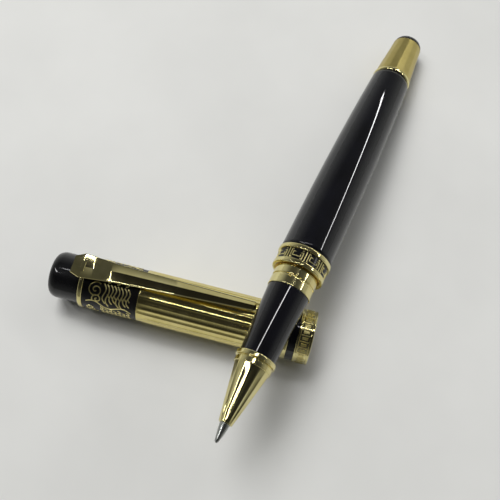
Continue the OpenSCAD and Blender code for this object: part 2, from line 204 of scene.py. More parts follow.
class Grain(Enum):
    """Which way a metal's fine polishing lines run."""

    NONE = "none"
    ROUND = "round the axis"
    LENGTH = "along the axis"


class Coordinates(Enum):
    """What a finish reads its patterns from."""

    SKIN = "the piece's own UV map: turns round, and millimetres along"
    SPACE = "object coordinates"


@dataclass(frozen=True)
class Finish:
    """A surface finish: one Principled shader with its colour, gloss and relief varied by noise."""

    name: str
    light: str
    dark: str
    metallic: float
    roughness: tuple[float, float]
    coat: float = 0.0
    coat_roughness: float = 0.03
    ior: float = 1.5
    specular: float = 0.5
    blotch_mm: float = 6.0
    grain: Grain = Grain.NONE
    grain_mm: float = 0.12
    relief_mm: float = 0.0008
    coordinates: Coordinates = Coordinates.SPACE

    def _place(self, tree: bpy.types.NodeTree, scale: Sequence[float]) -> bpy.types.NodeSocket:
        """Pattern coordinates in units of the given scale."""
        source = add_node(tree, "ShaderNodeTexCoord")
        out = source.outputs["UV" if self.coordinates is Coordinates.SKIN else "Object"]
        mapping = add_node(
            tree, "ShaderNodeMapping", inputs={"Scale": scale}, links={"Vector": out}
        )
        return mapping.outputs["Vector"]

    def _blotches(self, tree: bpy.types.NodeTree) -> bpy.types.NodeSocket:
        """Slow variation over several millimetres: handling, and uneven plating or lacquer."""
        if self.coordinates is Coordinates.SKIN:
            scale = (SKIN_ROUND_MM / self.blotch_mm, 1 / self.blotch_mm, 1)
        else:
            scale = (1 / (self.blotch_mm * MM),) * 3
        return add_node(
            tree,
            "ShaderNodeTexNoise",
            inputs={"Scale": 1.0, "Detail": 4.0, "Roughness": 0.55},
            links={"Vector": self._place(tree, scale)},
        ).outputs["Fac"]

    def _lines(self, tree: bpy.types.NodeTree) -> bpy.types.NodeSocket:
        """Fine lines a grain apart, drawn out along the polishing direction."""
        fine = 1 / self.grain_mm
        if self.coordinates is Coordinates.SPACE:
            scale = (fine / MM * 0.25,) * 3
        elif self.grain is Grain.ROUND:
            scale = (1.5, fine, 1)
        else:
            scale = (SKIN_ROUND_MM * fine, 0.05, 1)
        return add_node(
            tree,
            "ShaderNodeTexNoise",
            inputs={"Scale": 1.0, "Detail": 3.0, "Roughness": 0.6},
            links={"Vector": self._place(tree, scale)},
        ).outputs["Fac"]

    def build(self) -> bpy.types.Material:
        """The finish as a material, made once."""
        known = bpy.data.materials.get(self.name)
        if known:
            return known
        material = bpy.data.materials.new(self.name)
        material.use_nodes = True
        tree = material.node_tree
        tree.nodes.clear()
        blotches = self._blotches(tree)
        lines = self._lines(tree)
        bump = add_node(
            tree,
            "ShaderNodeBump",
            inputs={"Strength": 1.0, "Distance": self.relief_mm * MM},
            links={"Height": lines},
        )
        shader = add_node(
            tree,
            "ShaderNodeBsdfPrincipled",
            inputs={
                "Metallic": self.metallic,
                "Coat Weight": self.coat,
                "Coat Roughness": self.coat_roughness,
                "IOR": self.ior,
                "Specular IOR Level": self.specular,
            },
            links={
                "Base Color": ramp(tree, blotches, ((0.35, self.dark), (0.65, self.light))),
                "Roughness": spread(tree, blotches, *self.roughness),
                "Normal": bump.outputs["Normal"],
            },
        )
        add_node(
            tree,
            "ShaderNodeOutputMaterial",
            links={"Surface": shader.outputs["BSDF"]},
        )
        return material


# Pale gold electroplate over polished brass: bright, slightly green-yellow, soft smudges.
GOLD = Finish(
    "gold_plate_polished", "#e6dca2", "#d9cd90", 1.0, (0.07, 0.13),
    grain=Grain.ROUND, relief_mm=0.0004, coordinates=Coordinates.SKIN,
)
# The same plate over long flutes drawn through a die: lines run along.
GOLD_FLUTED = Finish(
    "gold_plate_drawn", "#e8da94", "#dacb80", 1.0, (0.15, 0.21),
    grain=Grain.LENGTH, relief_mm=0.0008, coordinates=Coordinates.SKIN,
)
# Plate left satin on the tail sleeve.
GOLD_SATIN = Finish(
    "gold_plate_satin", "#c8b874", "#b8a864", 1.0, (0.30, 0.38),
    grain=Grain.LENGTH, relief_mm=0.0014, coordinates=Coordinates.SKIN,
)
# Gold on raised ornament, which has no skin map.
GOLD_RELIEF = Finish(
    "gold_plate_relief", "#ece0a0", "#dccf8c", 1.0, (0.30, 0.42), relief_mm=0.0006,
)
# Stamped and polished clip, plated like the rest.
GOLD_STAMPED = Finish(
    "gold_plate_stamped", "#e8dea4", "#dccf90", 1.0, (0.06, 0.12), relief_mm=0.0004,
)
# Stoved black lacquer under a polished clear coat: deep, faintly blue, with slight orange peel.
LACQUER = Finish(
    "lacquer_polished", "#0a0a10", "#050508", 0.0, (0.45, 0.55), coat=1.0, coat_roughness=0.025,
    specular=0.05, grain_mm=0.9, relief_mm=0.0006,
)
# Moulded and buffed black resin of the finials.
RESIN = Finish(
    "resin_buffed", "#0a0a0c", "#060607", 0.0, (0.35, 0.45), coat=0.8, coat_roughness=0.06,
    specular=0.1, grain_mm=0.7, relief_mm=0.0006,
)
# Matt black enamel filled in behind raised gold lines.
ENAMEL = Finish(
    "enamel_matt_black", "#0b0a0a", "#050505", 0.0, (0.35, 0.50), coat=0.4, coat_roughness=0.12,
    specular=0.1, grain_mm=0.3, relief_mm=0.002,
)
# Free-cutting brass straight off the lathe.
BRASS = Finish(
    "brass_from_lathe", "#caa75a", "#b8924a", 1.0, (0.24, 0.36), grain_mm=0.15, relief_mm=0.003,
)
# Ground stainless steel.
STEEL = Finish(
    "ground_steel", "#b2b4b0", "#999b97", 1.0, (0.24, 0.34),
    grain=Grain.ROUND, grain_mm=0.1, relief_mm=0.001, coordinates=Coordinates.SKIN,
)
# Spring wire, drawn and left bright.
STEEL_WIRE = Finish("drawn_steel_wire", "#b4b5b4", "#9b9c9b", 1.0, (0.2, 0.3))
# Natural moulded polypropylene.
POLYPROPYLENE = Finish(
    "moulded_polypropylene", "#e4e6e2", "#d6d8d3", 0.0, (0.35, 0.5), relief_mm=0.002,
)
# Polyester fibre rod soaked with blue-black ink.
FELT = Finish(
    "ink_soaked_felt", "#101a3c", "#070c20", 0.0, (0.8, 0.95), grain_mm=0.08, relief_mm=0.02,
)
# White laminated table top, faintly uneven in tone.
TABLE = Finish(
    "white_laminate", "#d7d7d4", "#d0d0cd", 0.0, (0.50, 0.60), blotch_mm=55, grain_mm=0.6,
    specular=0.25, relief_mm=0.004,
)


# ---------------------------------------------------------------- mesh helpers


def finished(
    name: str, mesh: bpy.types.Mesh, finish: Finish, body: str, nodes: Iterable[str] = ()
) -> bpy.types.Object:
    """Links a mesh as a finished piece of the object.

    Args:
        name: the piece's name.
        mesh: its mesh, in the frame's coordinates.
        finish: its finish.
        body: the CAD body that it rides on.
        nodes: the CAD nodes that it stands for.

    Returns:
        The piece.
    """
    mesh.name = name
    mesh.materials.clear()
    mesh.materials.append(finish.build())
    piece = bpy.data.objects.new(name, mesh)
    bpy.context.scene.collection.objects.link(piece)
    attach(piece, body)
    if nodes:
        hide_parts(*nodes)
    LOG.info("%s: %d faces on %s", name, len(mesh.polygons), body)
    return piece


def soften(outline: Sequence[Point], radius: float, steps: int = 4) -> list[Point]:
    """Rounds the corners of a closed outline, with holding points beside each round.

    Args:
        outline: (station, radius) corners, in order.
        radius: the round's size, limited by the edges beside it.
        steps: points on each round.

    Returns:
        The rounded outline.
    """
    result: list[Point] = []
    count = len(outline)
    for i, corner in enumerate(outline):
        before, after = outline[i - 1], outline[(i + 1) % count]
        to_before = Vector(before) - Vector(corner)
        to_after = Vector(after) - Vector(corner)
        reach = min(radius, 0.4 * to_before.length, 0.4 * to_after.length)
        straight = to_before.normalized().dot(to_after.normalized()) < -STRAIGHT
        if straight or corner[1] < ON_AXIS_MM or reach < 1e-4:
            result.append(tuple(corner))
            continue
        a = Vector(corner) + to_before.normalized() * reach
        b = Vector(corner) + to_after.normalized() * reach
        hold = min(1.25 * reach, 0.45 * to_before.length, 0.45 * to_after.length)
        result.append(tuple(Vector(corner) + to_before.normalized() * hold))
        for k in range(steps + 1):
            t = k / steps
            spot = a * (1 - t) ** 2 + Vector(corner) * 2 * t * (1 - t) + b * t * t
            result.append(tuple(spot))
        result.append(tuple(Vector(corner) + to_after.normalized() * hold))
    return result


def lathe(
    outline: Sequence[Point],
    segments: int = 128,
    swell: Callable[[float, float, float], float] | None = None,
) -> bpy.types.Mesh:
    """Turns a closed outline about local Z.

    Args:
        outline: (station, radius) points in millimetres, closed on itself.
        segments: steps round the axis.
        swell: gives a new radius for (station, radius, turn from 0 to 1), for threads and flutes.

    Returns:
        A closed, smooth mesh about local Z, with a map of turns round and millimetres along.
    """
    verts: list[Vector] = []
    rows: list[list[int]] = []
    for station, radius in outline:
        if radius < ON_AXIS_MM:
            rows.append([len(verts)] * segments)
            verts.append(Vector((0, 0, station * MM)))
            continue
        row = []
        for k in range(segments):
            turn = k / segments
            r = swell(station, radius, turn) if swell else radius
            row.append(len(verts))
            spot = (r * math.cos(turn * TURN), r * math.sin(turn * TURN), station)
            verts.append(Vector(spot) * MM)
        rows.append(row)
    faces: list[tuple[int, ...]] = []
    maps: list[list[Point]] = []
    for i in range(len(rows)):
        here, there = rows[i], rows[(i + 1) % len(rows)]
        if len(set(here)) == 1 and len(set(there)) == 1:
            continue
        v0, v1 = outline[i][0], outline[(i + 1) % len(rows)][0]
        for k in range(segments):
            n = (k + 1) % segments
            corners = [
                (here[k], k, v0),
                (here[n], k + 1, v0),
                (there[n], k + 1, v1),
                (there[k], k, v1),
            ]
            if here[k] == here[n]:
                corners = [corners[0], corners[2], corners[3]]
            elif there[k] == there[n]:
                corners = corners[:3]
            faces.append(tuple(c[0] for c in corners))
            maps.append([(c[1] / segments, c[2]) for c in corners])
    mesh = bpy.data.meshes.new("turned")
    mesh.from_pydata(verts, [], faces)
    skin = mesh.uv_layers.new(name="skin")
    flat = [value for face in maps for uv in face for value in uv]
    skin.data.foreach_set("uv", flat)
    face_outwards(mesh)
    mesh.shade_smooth()
    return mesh


def face_outwards(mesh: bpy.types.Mesh) -> None:
    """Recalculates a closed mesh's normals so that they all point out."""
    work = bmesh.new()
    work.from_mesh(mesh)
    bmesh.ops.recalc_face_normals(work, faces=work.faces)
    work.to_mesh(mesh)
    work.free()


def placed(mesh: bpy.types.Mesh, axis: Axis) -> bpy.types.Mesh:
    """Moves a mesh drawn about local Z to its place on an axis."""
    mesh.transform(axis.matrix)
    mesh.update()
    return mesh


def ribbon(line: Sequence[Point], width: float, height: float) -> tuple[list, list]:
    """A raised strip along a flat line, with sloping sides.

    Args:
        line: (x, y) points in millimetres.
        width: the strip's width at its foot.
        height: its height.

    Returns:
        Its vertices, in millimetres, and its faces.
    """
    verts: list[tuple[float, float, float]] = []
    faces: list[tuple[int, ...]] = []
    sunk = -0.05
    for i, here in enumerate(line):
        back = line[max(i - 1, 0)]
        ahead = line[min(i + 1, len(line) - 1)]
        a = (Vector(here) - Vector(back)).normalized()
        b = (Vector(ahead) - Vector(here)).normalized()
        way = (a + b).normalized() if (a + b).length > 1e-6 else b
        side = Vector((-way.y, way.x))
        mitre = 1 / max(0.5, side.dot(Vector((-b.y, b.x)))) if b.length else 1.0
        for reach, z in ((-0.5, sunk), (-0.32, height), (0.32, height), (0.5, sunk)):
            spot = Vector(here) + side * reach * width * mitre
            verts.append((spot.x, spot.y, z))
    for i in range(len(line) - 1):
        for k in range(4):
            n = (k + 1) % 4
            faces.append((i * 4 + k, i * 4 + n, i * 4 + 4 + n, i * 4 + 4 + k))
    last = (len(line) - 1) * 4
    faces.append((3, 2, 1, 0))
    faces.append((last, last + 1, last + 2, last + 3))
    return verts, faces


def strips(lines: Iterable[Sequence[Point]], width: float, height: float) -> bpy.types.Mesh:
    """One flat mesh of raised strips, in metres."""
    verts: list = []
    faces: list = []
    for line in lines:
        more, skin = ribbon(line, width, height)
        faces.extend(tuple(i + len(verts) for i in face) for face in skin)
        verts.extend(tuple(value * MM for value in spot) for spot in more)
    mesh = bpy.data.meshes.new("strips")
    mesh.from_pydata(verts, [], faces)
    face_outwards(mesh)
    return mesh


# ---------------------------------------------------------------- geometry nodes


def new_tree(name: str, sockets: Sequence[tuple[str, str, object]]) -> bpy.types.NodeTree:
    """An empty geometry tree with a mesh in and out and the named inputs.

    Args:
        name: the tree's name.
        sockets: (name, socket type, default) of each input after the geometry.

    Returns:
        The tree, with its group input and output nodes.
    """
    tree = bpy.data.node_groups.new(name, "GeometryNodeTree")
    tree.interface.new_socket("Geometry", in_out="INPUT", socket_type="NodeSocketGeometry")
    tree.interface.new_socket("Geometry", in_out="OUTPUT", socket_type="NodeSocketGeometry")
    for label, kind, default in sockets:
        socket = tree.interface.new_socket(label, in_out="INPUT", socket_type=kind)
        if default is not None:
            socket.default_value = default
    add_node(tree, "NodeGroupInput")
    add_node(tree, "NodeGroupOutput")
    return tree


def arithmetic(
    tree: bpy.types.NodeTree, operation: str, *terms: bpy.types.NodeSocket | float
) -> bpy.types.NodeSocket:
    """A math node over sockets and plain numbers."""
    values = {i: t for i, t in enumerate(terms) if isinstance(t, (int, float))}
    joined = {i: t for i, t in enumerate(terms) if i not in values}
    return add_node(tree, "ShaderNodeMath", {"operation": operation}, values, joined).outputs[0]


def wrapped_row_tree() -> bpy.types.NodeTree:
    """Repeats a flat unit in a row and wraps the row round local Z.

    The unit's X runs round, its Y is the station and its Z stands out from the surface.
    """
    known = bpy.data.node_groups.get("wrapped_row")
    if known:
        return known
    tree = new_tree(
        "wrapped_row",
        (
            ("Count", "NodeSocketInt", 12),
            ("Pitch", "NodeSocketFloat", 0.003),
            ("Radius", "NodeSocketFloat", 0.006),
            ("Slope", "NodeSocketFloat", 0.0),
            ("Start", "NodeSocketFloat", 0.0),
            ("Finish", "NodeSocketMaterial", None),
        ),
    )
    given = tree.nodes["Group Input"].outputs
    step = add_node(tree, "ShaderNodeCombineXYZ", links={"X": given["Pitch"]})
    row = add_node(
        tree,
        "GeometryNodeMeshLine",
        {"mode": "OFFSET"},
        links={"Count": given["Count"], "Offset": step.outputs[0]},
    )
    copies = add_node(
        tree,
        "GeometryNodeInstanceOnPoints",
        links={"Points": row.outputs["Mesh"], "Instance": given["Geometry"]},
    )
    real = add_node(
        tree, "GeometryNodeRealizeInstances", links={"Geometry": copies.outputs["Instances"]}
    )
    place = add_node(tree, "GeometryNodeInputPosition")
    parts = add_node(tree, "ShaderNodeSeparateXYZ", links={0: place.outputs[0]}).outputs
    sloped = arithmetic(tree, "MULTIPLY", parts["Y"], given["Slope"])
    foot = arithmetic(tree, "ADD", given["Radius"], sloped)
    radius = arithmetic(tree, "ADD", foot, parts["Z"])
    turned = arithmetic(tree, "DIVIDE", parts["X"], given["Radius"])
    angle = arithmetic(tree, "ADD", turned, given["Start"])
    x = arithmetic(tree, "MULTIPLY", radius, arithmetic(tree, "COSINE", angle))
    y = arithmetic(tree, "MULTIPLY", radius, arithmetic(tree, "SINE", angle))
    spot = add_node(tree, "ShaderNodeCombineXYZ", links={"X": x, "Y": y, "Z": parts["Y"]})
    bent = add_node(
        tree,
        "GeometryNodeSetPosition",
        links={"Geometry": real.outputs[0], "Position": spot.outputs[0]},
    )
    dressed = add_node(
        tree,
        "GeometryNodeSetMaterial",
        links={"Geometry": bent.outputs[0], "Material": given["Finish"]},
    )
    tree.links.new(dressed.outputs[0], tree.nodes["Group Output"].inputs[0])
    return tree


def fluted_tree() -> bpy.types.NodeTree:
    """Presses hollow flutes into the outer skin of a turned piece.

    Each flute is a shallow trough between two narrow ridges, and fades out at both ends.
    """
    known = bpy.data.node_groups.get("fluted")
    if known:
        return known
    tree = new_tree(
        "fluted",
        (
            ("Flutes", "NodeSocketFloat", 20.0),
            ("Depth", "NodeSocketFloat", 0.0001),
            ("Inner Radius", "NodeSocketFloat", 0.005),
            ("First", "NodeSocketFloat", 0.0),
            ("Last", "NodeSocketFloat", 0.01),
            ("Fade", "NodeSocketFloat", 0.0005),
            ("Land", "NodeSocketFloat", 0.1),
            ("Finish", "NodeSocketMaterial", None),
        ),
    )
    given = tree.nodes["Group Input"].outputs
    place = add_node(tree, "GeometryNodeInputPosition")
    parts = add_node(tree, "ShaderNodeSeparateXYZ", links={0: place.outputs[0]}).outputs
    square = arithmetic(
        tree,
        "ADD",
        arithmetic(tree, "MULTIPLY", parts["X"], parts["X"]),
        arithmetic(tree, "MULTIPLY", parts["Y"], parts["Y"]),
    )
    radius = arithmetic(tree, "SQRT", square)
    angle = arithmetic(tree, "ARCTAN2", parts["Y"], parts["X"])
    turns = arithmetic(tree, "DIVIDE", angle, TURN)
    phase = arithmetic(tree, "FRACT", arithmetic(tree, "MULTIPLY", turns, given["Flutes"]))
    offset = arithmetic(tree, "MULTIPLY_ADD", phase, 2.0, -1.0)
    wide = arithmetic(tree, "MULTIPLY", offset, arithmetic(tree, "ADD", given["Land"], 1.0))
    bowl = arithmetic(tree, "MAXIMUM", 0.0, arithmetic(
        tree, "SUBTRACT", 1.0, arithmetic(tree, "MULTIPLY", wide, wide)
    ))
    from_first = arithmetic(tree, "SUBTRACT", parts["Z"], given["First"])
    to_last = arithmetic(tree, "SUBTRACT", given["Last"], parts["Z"])
    nearest = arithmetic(tree, "MINIMUM", from_first, to_last)
    share = add_node(
        tree,
        "ShaderNodeClamp",
        links={"Value": arithmetic(tree, "DIVIDE", nearest, given["Fade"])},
    ).outputs[0]
    depth = arithmetic(
        tree, "MULTIPLY", arithmetic(tree, "MULTIPLY", bowl, share), given["Depth"]
    )
    shrink = arithmetic(
        tree, "DIVIDE", arithmetic(tree, "SUBTRACT", radius, depth), radius
    )
    spot = add_node(
        tree,
        "ShaderNodeCombineXYZ",
        links={
            "X": arithmetic(tree, "MULTIPLY", parts["X"], shrink),
            "Y": arithmetic(tree, "MULTIPLY", parts["Y"], shrink),
            "Z": parts["Z"],
        },
    )
    outer = add_node(
        tree,
        "FunctionNodeCompare",
        {"data_type": "FLOAT", "operation": "GREATER_THAN"},
        links={0: radius, 1: given["Inner Radius"]},
    )
    pressed = add_node(
        tree,
        "GeometryNodeSetPosition",
        links={
            "Geometry": given["Geometry"],
            "Selection": outer.outputs[0],
            "Position": spot.outputs[0],
        },
    )
    real = add_node(
        tree, "GeometryNodeRealizeInstances", links={"Geometry": pressed.outputs[0]}
    )
    dressed = add_node(
        tree,
        "GeometryNodeSetMaterial",
        links={"Geometry": real.outputs[0], "Material": given["Finish"]},
    )
    tree.links.new(dressed.outputs[0], tree.nodes["Group Output"].inputs[0])
    return tree


def grown(mesh: bpy.types.Mesh, tree: bpy.types.NodeTree, values: dict) -> bpy.types.Mesh:
    """Runs a geometry tree on a mesh and returns the plain mesh that it makes.

    Args:
        mesh: the tree's geometry input.
        tree: the geometry tree.
        values: the tree's other inputs, by name.

    Returns:
        A new mesh with nothing left to evaluate.
    """
    seed = bpy.data.objects.new("seed", mesh)
    bpy.context.scene.collection.objects.link(seed)
    modifier = seed.modifiers.new("grow", "NODES")
    modifier.node_group = tree
    for item in tree.interface.items_tree:
        if item.in_out == "INPUT" and item.name in values:
            modifier[item.identifier] = values[item.name]
    bpy.context.view_layer.update()
    graph = bpy.context.evaluated_depsgraph_get()
    result = bpy.data.meshes.new_from_object(seed.evaluated_get(graph))
    seed.modifiers.remove(modifier)
    bpy.data.objects.remove(seed)
    return result


def wrapped(
    unit: bpy.types.Mesh, count: int, radius: float, axis: Axis, finish: Finish,
    slope: float = 0.0, start: float = 0.0,
) -> bpy.types.Mesh:
    """A row of one unit right round an axis.

    Args:
        unit: the flat unit, in metres.
        count: copies in the full circle.
        radius: the radius of the surface, in millimetres, at station 0 of the unit.
        axis: where the row goes.
        finish: the row's finish.
        slope: millimetres of radius gained for each millimetre of station.
        start: turn of the first copy, in radians.

    Returns:
        The row's mesh, in place.
    """
    values = {
        "Count": count,
        "Pitch": TURN * radius * MM / count,
        "Radius": radius * MM,
        "Slope": slope,
        "Start": start,
        "Finish": finish.build(),
    }
    return placed(grown(unit, wrapped_row_tree(), values), axis)


def fluted(
    mesh: bpy.types.Mesh, flutes: int, depth: float, inner: float, span: Point, fade: float,
    axis: Axis, finish: Finish, land: float = 0.1,
) -> bpy.types.Mesh:
    """A turned piece with flutes pressed in, in place on its axis.

    Args:
        mesh: the turned piece about local Z.
        flutes: how many flutes.
        depth: how deep, in millimetres.
        inner: skin inside this radius is left alone.
        span: first and last station of the flutes.
        fade: length over which they die out.
        axis: where the piece goes.
        finish: its finish.
        land: share of each flute's width left as a ridge.

    Returns:
        The mesh, in place.
    """
    values = {
        "Land": land,
        "Flutes": float(flutes),
        "Depth": depth * MM,
        "Inner Radius": inner * MM,
        "First": span[0] * MM,
        "Last": span[1] * MM,
        "Fade": fade * MM,
        "Finish": finish.build(),
    }
    made = grown(mesh, fluted_tree(), values)
    made.shade_smooth()
    return placed(made, axis)


# ---------------------------------------------------------------- patterns


def key_line(width: float, height: float, step: float) -> list[list[Point]]:
    """One unit of a plain square key: a hook winding in, with an upright bar after it.

    Args:
        width: the unit's length round the band.
        height: the band's width.
        step: distance between neighbouring lines.

    Returns:
        The unit's lines.
    """
    left, right = step * 0.8, width - step * 1.8
    low, high = step * 0.6, height - step * 0.6
    line = [(left, low)]
    while right - left > step and high - low > step:
        line += [(right, low), (right, high), (left, high), (left, low + step)]
        left, low = left + step, low + step
        right, high = right - step, high - step
    bar = [(width - step * 0.5, 0.1), (width - step * 0.5, height - 0.1)]
    return [line, bar]


def volute(
    centre: Point, size: float, turns: float, start: float, hand: int = 1, points: int = 36
) -> list[Point]:
    """A spiral scroll that winds in to its centre.

    Args:
        centre: its eye.
        size: its outer radius.
        turns: how many turns it makes.
        start: angle of its outer end, in radians.
        hand: 1 to wind anticlockwise, -1 clockwise.
        points: how finely it is drawn.

    Returns:
        The spiral's points, from the outside in.
    """
    line = []
    for i in range(points + 1):
        t = i / points
        radius = size * (1 - t) ** 0.8 + 0.08
        angle = start + hand * t * turns * TURN
        line.append((centre[0] + radius * math.cos(angle), centre[1] + radius * math.sin(angle)))
    return line


def wave(
    start: Point, end: Point, swing: float, points: int = 20, cycles: float = 1.0
) -> list[Point]:
    """An S-shaped line between two points."""
    way = Vector(end) - Vector(start)
    side = Vector((-way.y, way.x)).normalized()
    line = []
    for i in range(points + 1):
        t = i / points
        spot = Vector(start) + way * t + side * swing * math.sin(t * TURN * cycles)
        line.append((spot.x, spot.y))
    return line


# ---------------------------------------------------------------- sub-assemblies


@dataclass
class Barrel:
    """The lacquered barrel with its trim ring, and the gold tail with its black finial."""

    axis: Axis
    finial_end: float = 2.1
    sleeve_end: float = 14.25
    rear: float = 15.25
    front: float = 73.8
    trim_front: float = 78.85
    tail_r: float = 3.9
    sleeve_r: float = 4.95
    tail_ring_r: float = 5.15
    rear_r: float = 5.05
    front_r: float = 6.45
    bore_r: float = 4.1
    bush_r: float = 5.6
    swell: float = 2.4
    rim_len: float = 1.15
    rim_rear_r: float = 6.72
    rim_front_r: float = 6.5
    band_r: float = 6.25
    keys: int = 9
    key_step: float = 0.52
    body: str = "barrel"

    def shell(self) -> None:
        """The long lacquered tube, swelling towards the trim ring."""
        steps = 60
        length = self.front - self.rear
        outside = [
            (
                self.rear + length * i / steps,
                self.rear_r + (self.front_r - self.rear_r) * (1 - (1 - i / steps) ** self.swell),
            )
            for i in range(steps + 1)
        ]
        seat = self.front - 6
        inside = [
            (self.front, self.bush_r), (seat, self.bush_r),
            (seat, self.bore_r), (self.rear, self.bore_r),
        ]
        mesh = placed(lathe(outside + inside, 160), self.axis)
        finished("barrel_shell", mesh, LACQUER, self.body, ["barrel_tube"])

    def finial(self) -> None:
        """The domed black button at the very tail."""
        end, wide = self.finial_end, self.tail_r
        corners = [
            (end, wide), (end * 0.65, wide * 0.96), (end * 0.35, wide * 0.86),
            (end * 0.14, wide * 0.72), (0.0, wide * 0.45),
        ]
        rounded = soften([(end, 0.0)] + corners + [(0.0, 0.0)], 0.25, 3)
        outline = [(end, 0.0)] + [spot for spot in rounded if spot[1] > 0.3] + [(0.0, 0.0)]
        mesh = placed(lathe(outline, 96), self.axis)
        finished("tail_button", mesh, RESIN, self.body, ["tail_finial"])

    def sleeve(self) -> None:
        """The satin tail sleeve, with very shallow flutes along it."""
        corners = [
            (self.finial_end, 2.5), (self.finial_end, self.tail_r),
            (self.sleeve_end, self.sleeve_r), (self.sleeve_end, 2.5),
        ]
        outline = soften(corners, 0.12)
        rows = self._subdivided(outline, 1.0)
        mesh = fluted(
            lathe(rows, 192), 16, 0.05, 3.6, (self.finial_end + 0.5, self.sleeve_end - 0.4), 0.8,
            self.axis, GOLD_SATIN,
        )
        finished("tail_sleeve_satin", mesh, GOLD_SATIN, self.body, ["tail_sleeve"])

    @staticmethod
    def _subdivided(outline: Sequence[Point], step: float) -> list[Point]:
        """Adds points so that no edge of the outline is longer than step."""
        result: list[Point] = []
        for i, here in enumerate(outline):
            ahead = outline[(i + 1) % len(outline)]
            pieces = max(1, math.ceil(math.dist(here, ahead) / step))
            for k in range(pieces):
                t = k / pieces
                result.append((here[0] + (ahead[0] - here[0]) * t, here[1] + (ahead[1] - here[1]) * t))
        return result

    def tail_ring(self) -> None:
        """The polished half-round ring between the sleeve and the barrel."""
        corners = [
            (self.sleeve_end, 2.0), (self.sleeve_end, self.tail_ring_r),
            (self.rear, self.tail_ring_r), (self.rear, 2.0),
        ]
        mesh = placed(lathe(soften(corners, 0.4, 6), 128), self.axis)
        finished("tail_ring_polished", mesh, GOLD, self.body, ["tail_ring"])

    def trim(self) -> None:
        """The trim ring: two rims, a black enamelled band and a raised Greek key on it."""
        low, high = self.front, self.trim_front
        floor_r = self.band_r - 0.25
        corners = [
            (low, self.bush_r), (low, self.rim_rear_r), (low + self.rim_len, self.rim_rear_r),
            (low + self.rim_len, floor_r), (high - self.rim_len, floor_r),
            (high - self.rim_len, self.rim_front_r), (high, self.rim_front_r), (high, self.bush_r),
        ]
        mesh = placed(lathe(soften(corners, 0.3, 5), 160), self.axis)
        finished("trim_ring_polished", mesh, GOLD, self.body, ["trim_ring"])
        first, last = low + self.rim_len, high - self.rim_len
        band = soften([(first, floor_r), (first, self.band_r), (last, self.band_r), (last, floor_r)], 0.04)
        mesh = placed(lathe(band, 160), self.axis)
        finished("trim_band_enamel", mesh, ENAMEL, self.body, ["trim_band"])
        pitch = TURN * self.band_r / self.keys
        lines = [[(x, first + y) for x, y in line] for line in key_line(pitch, last - first, self.key_step)]
        unit = strips(lines, 0.28, 0.09)
        mesh = wrapped(unit, self.keys, self.band_r, self.axis, GOLD_RELIEF)
        finished("trim_key_pattern", mesh, GOLD_RELIEF, self.body)

    def build(self) -> None:
        """Makes every piece of the barrel and tail."""
        self.shell()
        self.finial()
        self.sleeve()
        self.tail_ring()
        self.trim()


